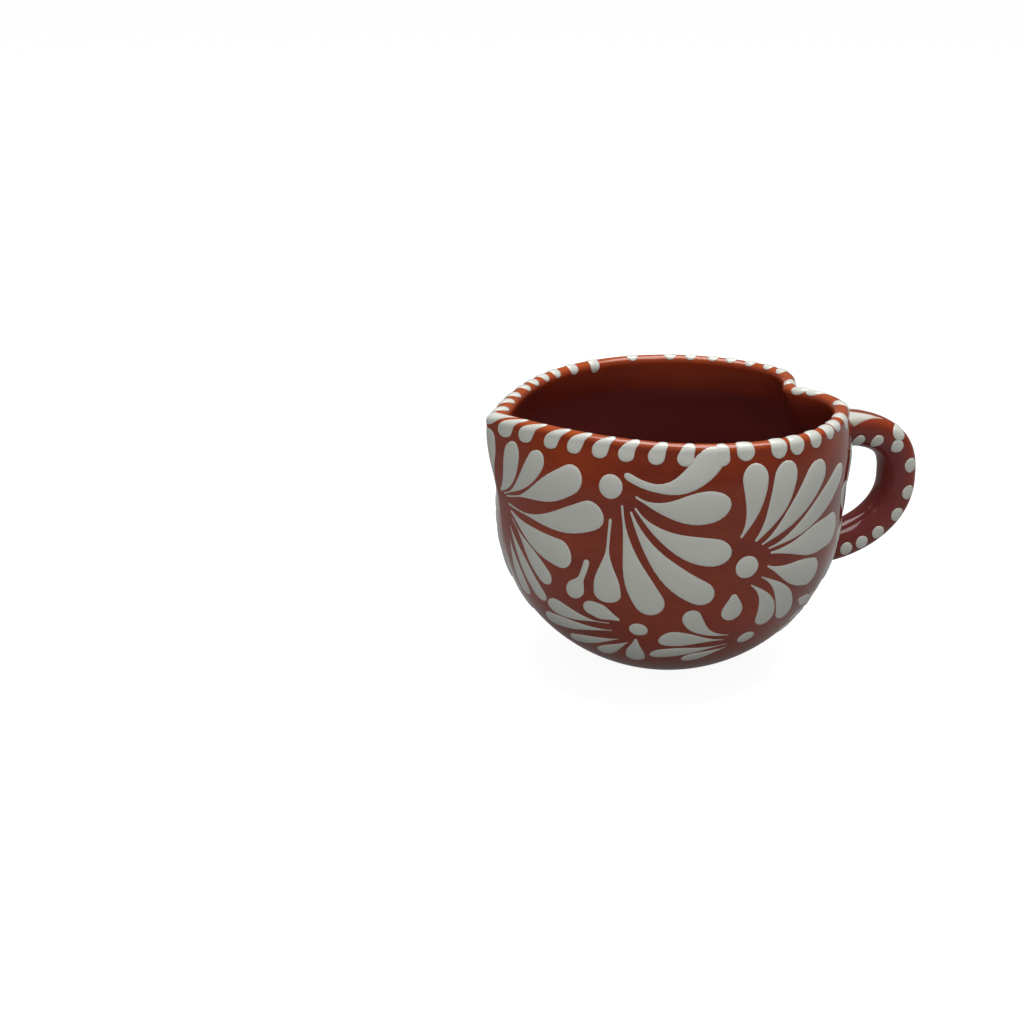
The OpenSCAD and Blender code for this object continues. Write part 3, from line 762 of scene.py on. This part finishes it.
class Stroke:
    """One stroke of the slip trailer, from its tail to its head over a skin.

    It bows sideways by bow at its share bend. It grows from neck to full, and stem is its tail's width share.
    """

    # The hand's wobble: how fast its broad, fine and sideways waves run, and how strong the last two are.
    WAVE_RATES = (5, 11, 7)
    FINE_SHARE = 0.6
    SWAY_SHARE = 0.5
    LEAST_WOBBLE = 0.2
    # The section: how square its sides and how full its top are, and how fast a stem grows to full height.
    SIDE_POWER = 0.85
    TOP_POWER = 0.8
    STEM_RATE = 3

    def __init__(self, skin, tail, head, width, bow=0.0, bend=0.5, neck=0.0, full=0.75, stem=USUAL_TAIL):
        self.skin = skin
        self.tail = np.array(tail, float)
        self.head = np.array(head, float)
        self.width = width
        self.bow = bow
        self.bend = bend
        self.neck = neck
        self.full = full
        self.stem = stem

    def laid(self, bead, slip, hand):
        """The bead's points, drawn out and laid on the skin, and how thick the slip is at each."""
        t = (bead[:, 0] + 1) / 2
        ring = np.sqrt(np.maximum(TINY, 1 - bead[:, 0] ** 2))
        across = signed_power(within(bead[:, 1] / ring, -1.0, 1.0), self.SIDE_POWER)
        up = within(bead[:, 2] / ring, 0.0, 1.0) ** self.TOP_POWER
        run = self.head - self.tail
        reach = np.linalg.norm(run)
        normal = np.array([-run[1], run[0]]) / reach
        middle = self.tail + run * self.bend + normal * self.bow
        on, back = t[:, None], 1 - t[:, None]
        line = back**2 * self.tail + 2 * on * back * middle + on**2 * self.head
        ahead = unit(back * (middle - self.tail) + on * (self.head - middle))
        side = np.stack([-ahead[:, 1], ahead[:, 0]], axis=-1)
        head = 1 - self.width / 2 / reach
        w = stroke_width(t, head, self.stem, self.neck, self.full)
        # A fourth phase is drawn and not used.
        phases = hand.uniform(0, 2 * math.pi, 4)
        wobble = slip.hand_wobble * within(reach / self.width - 1, self.LEAST_WOBBLE, 1.0)
        broad, fine, sway = (np.sin(rate * t + phase) for rate, phase in zip(self.WAVE_RATES, phases))
        half = self.width / 2 * w * (1 + wobble * (broad + self.FINE_SHARE * fine))
        lean = self.width / 2 * w * wobble * sway * self.SWAY_SHARE
        spot = line + side * (across * half + lean)[:, None]
        thickness = THIN_RELIEF + (1 - THIN_RELIEF) * w
        height = slip.relief * thickness * np.sqrt(np.minimum(1.0, self.STEM_RATE * w))
        depth = up * within(half / MM, 0.0, 1.0)
        return self.skin(spot[:, 0], spot[:, 1], height * up - slip.seat), depth


def make_strokes(name, strokes, far_too, cover=1.0):
    """Lays a bead for each stroke and joins them. A cover under 1 lets the clay show through the slip."""
    slip = bpy.context.scene.mug_slip
    hand = np.random.default_rng([slip.seed, sum(name.encode())])
    bead = make_bead()
    shape = coordinates(bead.data)
    near_side = np.ones(3)
    copies = []
    for side in (near_side, FAR_SIDE) if far_too else (near_side,):
        for stroke in strokes:
            copy = bead.copy()
            copy.data = bead.data.copy()
            bpy.context.collection.objects.link(copy)
            points, depth = stroke.laid(shape, slip, hand)
            reshape(copy.data, np.clip(points, *CAD_BOX) * side)
            mark(copy.data, "slip_depth", cover * depth)
            copies.append(copy)
    bpy.data.objects.remove(bead)
    deselect()
    for copy in copies:
        copy.select_set(True)
    piece = copies[0]
    bpy.context.view_layer.objects.active = piece
    bpy.ops.object.join()
    piece.name = name
    close_mesh(SLIP_MERGE)
    bpy.ops.object.shade_smooth_by_angle(angle=math.radians(60))
    return piece


def fan_strokes(wall, turn, height_share, reach_share, petals):
    """The petals of one fan."""
    field = wall.top_length - FIELD_MARGIN
    arc = wall.sizes.ball_radius * math.radians(FIELD_TURN)
    skin = wall.flat(turn, height_share * field)
    strokes = []
    for tail_heading, tail_reach, head_heading, head_reach, width, bow, *form in petals:
        ends = [
            (
                reach * reach_share * arc * math.cos(math.radians(heading)),
                reach * reach_share * field * math.sin(math.radians(heading)),
            )
            for heading, reach in ((tail_heading, tail_reach), (head_heading, head_reach))
        ]
        scale = reach_share * field
        strokes.append(Stroke(skin, *ends, width * scale, bow * scale, *form))
    return strokes


def dot_stroke(skin, width):
    """A round dot, as the shortest of strokes."""
    half = width / 2
    return Stroke(skin, (-half, 0.0), (half, 0.0), width, stem=1.0)


def rim_drop_strokes(wall, slip):
    """The near side's drops over the rim, and the one on the tip."""
    over = math.pi * wall.sizes.lip
    width = slip.rim_drop_width
    tip_ends = ((6 * MM, 0.55 * over), (-1.5 * MM, 0.1 * over))
    strokes = [Stroke(wall.flat(-HALF_TURN, wall.top_length), *tip_ends, 0.8 * width)]
    for turn in COMBED_DROP_TURNS:
        comb = ((turn - COMB_START_TURN) / (HALF_TURN - COMB_START_TURN)) ** COMB_POWER
        sweep = slip.rim_tail * comb
        ends = ((sweep, 0.52 * over), (0.0, -slip.rim_drop_hang))
        form = {"bow": -0.3 * sweep, "bend": 0.6, "neck": 0.15, "stem": 0.82 - 0.4 * comb}
        strokes.append(Stroke(wall.flat(-turn, wall.top_length), *ends, 0.95 * width, **form))
    longest_turn, span, most, fall = 78, 40, 0.75, 1.3
    for turn in LOBE_DROP_TURNS:
        hang = slip.rim_drop_hang * (most - fall * ((longest_turn - turn) / span) ** 2)
        ends = ((0.0, 0.75 * over), (0.0, -hang))
        strokes.append(Stroke(wall.flat(-turn, wall.top_length), *ends, width, stem=0.85))
    return strokes + crest_drop_strokes(wall, slip, NEAR_CREST_DROP_PLACES, *NEAR_CREST_FORM)


def crest_drop_strokes(wall, slip, places, hang, width_share):
    """Plain drops that lie across the rim's crest."""
    over = math.pi * wall.sizes.lip
    width = width_share * slip.rim_drop_width
    return [
        Stroke(wall.flat(-turn, wall.top_length), (0.0, -hang * over), (0.0, inner * over), width, stem=0.8)
        for turn, inner in places
    ]


class Socket:
    """A node's output, with Python's operators adding the Math nodes."""

    def __init__(self, tree, link):
        self.tree = tree
        self.link = link

    def math(self, operation, other, flip=False, clamp=False):
        """A Math node on this value and the other one, which comes first in a flipped one."""
        first, second = (other, self) if flip else (self, other)
        settings = {"operation": operation, "use_clamp": clamp}
        return node(self.tree, "ShaderNodeMath", settings, {0: first, 1: second})

    def __add__(self, other):
        return self.math("ADD", other)

    def __radd__(self, other):
        return self.math("ADD", other, True)

    def __sub__(self, other):
        return self.math("SUBTRACT", other)

    def __rsub__(self, other):
        return self.math("SUBTRACT", other, True)

    def __mul__(self, other):
        return self.math("MULTIPLY", other)

    def __rmul__(self, other):
        return self.math("MULTIPLY", other, True)

    def __pow__(self, other):
        return self.math("POWER", other)

    def held(self):
        """The value held between 0 and 1."""
        return self.math("MULTIPLY", 1.0, clamp=True)


def node(tree, kind, settings=None, inputs=None, output=0):
    """Adds a node, with its settings first and then the values or links of its sockets, for its output."""
    made = tree.nodes.new(kind)
    for key, value in (settings or {}).items():
        setattr(made, key, value)
    for key, value in (inputs or {}).items():
        socket = made.inputs[key]
        if isinstance(value, Socket):
            tree.links.new(value.link, socket)
        elif hasattr(value, "__len__"):
            lacks_alpha = len(socket.default_value) > len(value)
            socket.default_value = tuple(value) + ((1.0,) if lacks_alpha else ())
        else:
            socket.default_value = value
    return Socket(tree, made.outputs[output]) if len(made.outputs) else None


def place_of(tree):
    """Object coordinates."""
    return node(tree, "ShaderNodeTexCoord", output="Object")


def attribute(tree, name):
    """A value per point that the piece's own mesh carries."""
    return node(tree, "ShaderNodeAttribute", {"attribute_name": name}, output="Fac")


def mottle(tree, place, scale, detail=4.0, roughness=0.5, squash=(1.0, 1.0, 1.0)):
    """Smooth noise from 0 to 1, with scale in cells a metre."""
    mapped = node(tree, "ShaderNodeMapping", {}, {"Vector": place, "Scale": squash})
    inputs = {"Vector": mapped, "Scale": scale, "Detail": detail, "Roughness": roughness}
    return node(tree, "ShaderNodeTexNoise", {}, inputs)


def blend_colours(tree, factor, first, second):
    """A mix of two colours, which are sockets 6 and 7 of the Mix node and come out of its socket 2."""
    return node(tree, "ShaderNodeMix", {"data_type": "RGBA"}, {0: factor, 6: first, 7: second}, 2)


def bumped(tree, strength, distance, height):
    """A normal that follows small rises."""
    return node(tree, "ShaderNodeBump", {}, {"Strength": strength, "Distance": distance, "Height": height})


def new_material(name):
    """An empty material and its nodes."""
    material = bpy.data.materials.new(name)
    material.use_nodes = True
    tree = material.node_tree
    tree.nodes.clear()
    return material, tree


def glaze_over(tree, inputs):
    """The shader of what lies under the clear glaze, joined to the material's output."""
    gloss = bpy.context.scene.mug_finish.gloss
    glaze = {"Coat Roughness": gloss, "Specular IOR Level": 0.0, "Coat IOR": GLAZE_IOR}
    shader = node(tree, "ShaderNodeBsdfPrincipled", {}, {**glaze, **inputs})
    node(tree, "ShaderNodeOutputMaterial", {}, {"Surface": shader})


def glazed_clay():
    """Red-brown clay under clear glaze: mottled, orange on the lip, and darkened by painted shade inside the
    bowl and on the handle's side towards it.
    """
    finish = bpy.context.scene.mug_finish
    material, tree = new_material("glazed_clay")
    place = place_of(tree)
    crest = attribute(tree, "crest")
    inside = attribute(tree, "inside")
    depth = attribute(tree, "depth")
    broad = mottle(tree, place, 38.0, 3.0, 0.5, (1.0, 1.0, 1.6))
    fine = mottle(tree, place, 420.0, 5.0, 0.6)
    streaks = mottle(tree, place, 90.0, 3.0, 0.5, (0.35, 0.35, 3.0))
    specks = mottle(tree, place, 1500.0, 2.0, 0.6)
    base = blend_colours(tree, (broad * 1.6 - 0.45).held(), finish.clay_deep, finish.clay)
    lively = blend_colours(tree, ((fine * 0.5 + streaks * 0.5) * 1.4 - 0.45).held(), base, finish.clay_pale)
    mixed = blend_colours(tree, 0.45, base, lively)
    warm = blend_colours(tree, (crest * 0.6 * (0.7 + broad * 0.4)).held(), mixed, finish.clay_pale)
    # Painted shade: darker clay inside the bowl below the lip and on the handle's side towards the bowl, more
    # so further down.
    painted_shade_clay = blend_colours(tree, (inside * (depth * 0.3 + 0.85)).held() * 0.9, warm, finish.clay_inside)
    height = node(tree, "ShaderNodeSeparateXYZ", {}, {0: place}, output="Z")
    bare_height = 0.4 * MM
    bare = (1 - height * (1 / bare_height)).held()
    raw = blend_colours(tree, bare, painted_shade_clay, finish.bare_clay)
    pits = (specks * 5.0 - 3.4).held()
    pitted = blend_colours(tree, pits * 0.35, raw, finish.clay_deep)
    inputs = {
        "Base Color": pitted,
        "Roughness": 0.32 + fine * 0.12 + bare * 0.4,
        "Coat Weight": (1 - bare) * (1 - inside * (depth**3 * 0.65 + 0.3)),
        "Normal": bumped(tree, 0.12, 0.3 * MM, broad * 0.6 + fine * 0.06),
    }
    glaze_over(tree, inputs)
    return material


def glazed_slip():
    """White slip under clear glaze: thin at its edges, where the clay shows through."""
    finish = bpy.context.scene.mug_finish
    material, tree = new_material("glazed_slip")
    place = place_of(tree)
    depth = attribute(tree, "slip_depth")
    broad = mottle(tree, place, 120.0, 3.0, 0.5)
    fine = mottle(tree, place, 900.0, 4.0, 0.6)
    cover = (depth * 2.6 + broad * 0.3 - 0.35).held()
    body = blend_colours(tree, cover, finish.slip_thin, finish.slip)
    shade = tuple(0.9 * k for k in finish.slip)
    cloudy = blend_colours(tree, (broad * 1.5 - 0.5).held() * 0.35, body, shade)
    rise = bumped(tree, 0.1, 0.2 * MM, broad * 0.7 + fine * 0.1)
    inputs = {"Base Color": cloudy, "Roughness": 0.34 + fine * 0.1, "Coat Weight": 1.0, "Normal": rise}
    glaze_over(tree, inputs)
    return material


def whiteness(tree):
    """How white the background is to a ray: all for the camera and through glass, less in the glaze."""
    seen, mirrored, through = (
        node(tree, "ShaderNodeLightPath", output=f"Is {kind} Ray")
        for kind in ("Camera", "Glossy", "Transmission")
    )
    return seen.math("MAXIMUM", through).math("MAXIMUM", mirrored * bpy.context.scene.mug_stage.mirrored)


def pale_floor():
    """A pale floor, to which the camera adds white, so that only the mug's shadow is left on it."""
    stage = bpy.context.scene.mug_stage
    material, tree = new_material("pale_floor")
    diffuse = node(tree, "ShaderNodeBsdfDiffuse", {}, {"Color": stage.floor_colour})
    glow = node(tree, "ShaderNodeEmission", {}, {"Strength": whiteness(tree) * stage.floor_glow})
    both = node(tree, "ShaderNodeAddShader", {}, {0: diffuse, 1: glow})
    node(tree, "ShaderNodeOutputMaterial", {}, {"Surface": both})
    return material


def dress(piece, material, slot, *nodes):
    """Gives a piece its material and the body that it rides on, in place of the CAD nodes. The slot is not
    used.
    """
    piece.data.materials.clear()
    piece.data.materials.append(material)
    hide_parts(*nodes)
    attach(piece, "root")


def dress_slip(piece, *nodes):
    """Dresses a piece of slip."""
    dress(piece, shared(glazed_slip), "slip", *nodes)


def shared(maker):
    """The material of that maker, made once."""
    return bpy.data.materials.get(maker.__name__) or maker()


def bowl_wall():
    """The wall with the sizes that the scene holds."""
    return Wall(bpy.context.scene.mug_bowl)


def handle_strap():
    """The handle with the sizes that the scene holds."""
    return Strap(bpy.context.scene.mug_handle, bowl_wall())


class MUG_OT_bowl(bpy.types.Operator):
    """Spin the bowl and pinch its mouth into a heart"""

    bl_idname = "mug.bowl"
    bl_label = "Make the bowl"

    def execute(self, context):
        dress(make_bowl(bowl_wall()), shared(glazed_clay), "clay", "bowl")
        return {"FINISHED"}


class MUG_OT_handle(bpy.types.Operator):
    """Bend the handle and run its roots into the bowl"""

    bl_idname = "mug.handle"
    bl_label = "Make the handle"

    def execute(self, context):
        dress(make_handle(handle_strap()), shared(glazed_clay), "clay", "handle")
        return {"FINISHED"}


class MUG_OT_rim_drops(bpy.types.Operator):
    """Trail the drops of slip over the rim"""

    bl_idname = "mug.rim_drops"
    bl_label = "Make the rim drops"

    def execute(self, context):
        wall = bowl_wall()
        slip = context.scene.mug_slip
        near = make_strokes("rim_drops_near", rim_drop_strokes(wall, slip), False)
        strokes = crest_drop_strokes(wall, slip, FAR_CREST_DROP_PLACES, *FAR_CREST_FORM)
        far = make_strokes("rim_drops_far", strokes, False)
        turn_far(far)
        dress_slip(near, "rim_drops")
        dress_slip(far, "rim_drops")
        return {"FINISHED"}


class MUG_OT_fans(bpy.types.Operator):
    """Trail the fans of petals round the bowl"""

    bl_idname = "mug.fans"
    bl_label = "Make the fans"

    def execute(self, context):
        wall = bowl_wall()
        low = []
        for name, turn, height, reach, petals in NEAR_FANS:
            strokes = fan_strokes(wall, turn, height, reach, petals)
            if name == "low_fans":
                low += strokes
            elif name == "tip_fan":
                lone = fan_strokes(wall, turn, height, reach, TIP_LONE_SHARES)
                dress_slip(make_strokes("tip_petals", strokes, True), name)
                dress_slip(make_strokes("tip_middle_petals", lone, False), name)
            else:
                near = make_strokes(f"near_{name}_petals", strokes, False)
                far = make_strokes(f"far_{name}_petals", strokes, False)
                turn_far(far)
                dress_slip(near, "near_" + name)
                dress_slip(far, "far_" + name)
        dress_slip(make_strokes("low_petals", low, True), "low_fans")
        return {"FINISHED"}


class MUG_OT_eyes(bpy.types.Operator):
    """Set the round dot in the middle of each fan"""

    bl_idname = "mug.eyes"
    bl_label = "Make the fans' eyes"

    def execute(self, context):
        wall = bowl_wall()
        slip = context.scene.mug_slip
        field = wall.top_length - FIELD_MARGIN
        strokes = [
            dot_stroke(wall.flat(turn, height * field), slip.eye_width * size)
            for turn, height, size in NEAR_EYES
        ]
        dress_slip(make_strokes("eyes", strokes, True), "fan_eyes")
        return {"FINISHED"}


class MUG_OT_handle_slip(bpy.types.Operator):
    """Trail the leaves and the drops along the handle"""

    bl_idname = "mug.handle_slip"
    bl_label = "Make the handle's slip"

    def execute(self, context):
        slip = context.scene.mug_slip
        strap = handle_strap()
        leaves = [
            Stroke(strap.leaf_skin(side), (0.0, 0.0), (0.0, slip.leaf_length), slip.leaf_width, full=0.9)
            for side in (-1, 1)
        ]
        drops = [dot_stroke(strap.side_skin(*place), slip.handle_drop_width) for place in HANDLE_DROP_PLACES]
        dress_slip(make_strokes("leaves", leaves, False, LEAF_COVER), "handle_leaves")
        dress_slip(make_strokes("drops", drops, True), "handle_drops")
        return {"FINISHED"}


class MUG_OT_stage(bpy.types.Operator):
    """Set out the floor, the lamps and the camera"""

    bl_idname = "mug.stage"
    bl_label = "Set the stage"

    MIDDLE = (0.0, 0.0, 35 * MM)
    FLOOR_GAP = 0.2 * MM
    SENSOR_WIDTH = 36.0
    # Each lamp: its place, its size, the property that holds its watts, and whether the glaze mirrors it.
    LAMPS = {
        "lamp_over": ((0.12, 0.08, 0.85), (0.8, 0.6), "over_power", True),
        "lamp_behind": ((0.5, 1.0, 0.45), (1.2, 0.5), "back_power", False),
        "lamp_front": ((-0.6, -1.15, 0.21), (0.8, 0.12), "front_power", False),
    }

    def lamp(self, name, place, size, power, mirrored):
        """Adds a lamp that faces the middle of the mug."""
        data = bpy.data.lights.new(name, "AREA")
        data.shape = "RECTANGLE"
        data.size, data.size_y = size
        data.energy = power
        lamp = bpy.data.objects.new(name, data)
        lamp.location = place
        lamp.rotation_euler = (Vector(self.MIDDLE) - Vector(place)).to_track_quat("-Z", "Y").to_euler()
        lamp.visible_glossy = mirrored
        bpy.context.collection.objects.link(lamp)

    def execute(self, context):
        stage = context.scene.mug_stage
        deselect()
        bpy.ops.mesh.primitive_plane_add(size=stage.floor_size, location=(0, 0, -self.FLOOR_GAP))
        floor = context.object
        floor.name = "floor"
        floor.data.materials.append(pale_floor())
        for name, (place, size, power, mirrored) in self.LAMPS.items():
            self.lamp(name, place, size, getattr(stage, power), mirrored)
        world = bpy.data.worlds.new("soft_room")
        context.scene.world = world
        world.use_nodes = True
        tree = world.node_tree
        tree.nodes.clear()
        mirrored = node(tree, "ShaderNodeLightPath", output="Is Glossy Ray")
        strength = whiteness(tree).math("MAXIMUM", stage.sky * (1 - mirrored))
        sky = node(tree, "ShaderNodeBackground", {}, {"Color": (1.0, 1.0, 1.0), "Strength": strength})
        node(tree, "ShaderNodeOutputWorld", {}, {"Surface": sky})
        data = bpy.data.cameras.new("camera")
        data.sensor_width = self.SENSOR_WIDTH
        data.lens = stage.focal_length
        data.clip_start = 0.01
        camera = bpy.data.objects.new("camera", data)
        camera.location = stage.camera_place
        camera.rotation_euler = (math.radians(stage.camera_tilt), 0.0, math.radians(stage.camera_turn))
        bpy.context.collection.objects.link(camera)
        context.scene.camera = camera
        context.scene.view_settings.view_transform = "Standard"
        return {"FINISHED"}


class MUG_PT_panel(bpy.types.Panel):
    """Lists the steps that make the mug"""

    bl_idname = "MUG_PT_panel"
    bl_label = "Clay mug"
    bl_space_type = "VIEW_3D"
    bl_region_type = "UI"
    bl_category = "Clay mug"

    def draw(self, context):
        for step in STEPS:
            self.layout.operator(step.bl_idname)
        for name in GROUPS:
            group = getattr(context.scene, name)
            box = self.layout.box()
            for key in group.bl_rna.properties.keys():
                if key not in {"rna_type", "name"}:
                    box.prop(group, key)


STEPS = (
    MUG_OT_stage,
    MUG_OT_bowl,
    MUG_OT_handle,
    MUG_OT_rim_drops,
    MUG_OT_fans,
    MUG_OT_eyes,
    MUG_OT_handle_slip,
)
CLASSES = tuple(GROUPS.values()) + STEPS + (MUG_PT_panel,)


def register():
    """Registers the classes and gives the scene its groups of sizes."""
    for kind in CLASSES:
        bpy.utils.register_class(kind)
    for name, kind in GROUPS.items():
        setattr(bpy.types.Scene, name, PointerProperty(type=kind))


def unregister():
    """Takes the groups and the classes away again."""
    for name in GROUPS:
        delattr(bpy.types.Scene, name)
    for kind in reversed(CLASSES):
        bpy.utils.unregister_class(kind)


def main():
    """Makes every piece in order."""
    register()
    bpy.ops.mug.stage()
    bpy.ops.mug.bowl()
    bpy.ops.mug.handle()
    bpy.ops.mug.rim_drops()
    bpy.ops.mug.fans()
    bpy.ops.mug.eyes()
    bpy.ops.mug.handle_slip()


if __name__ == "__main__":
    main()
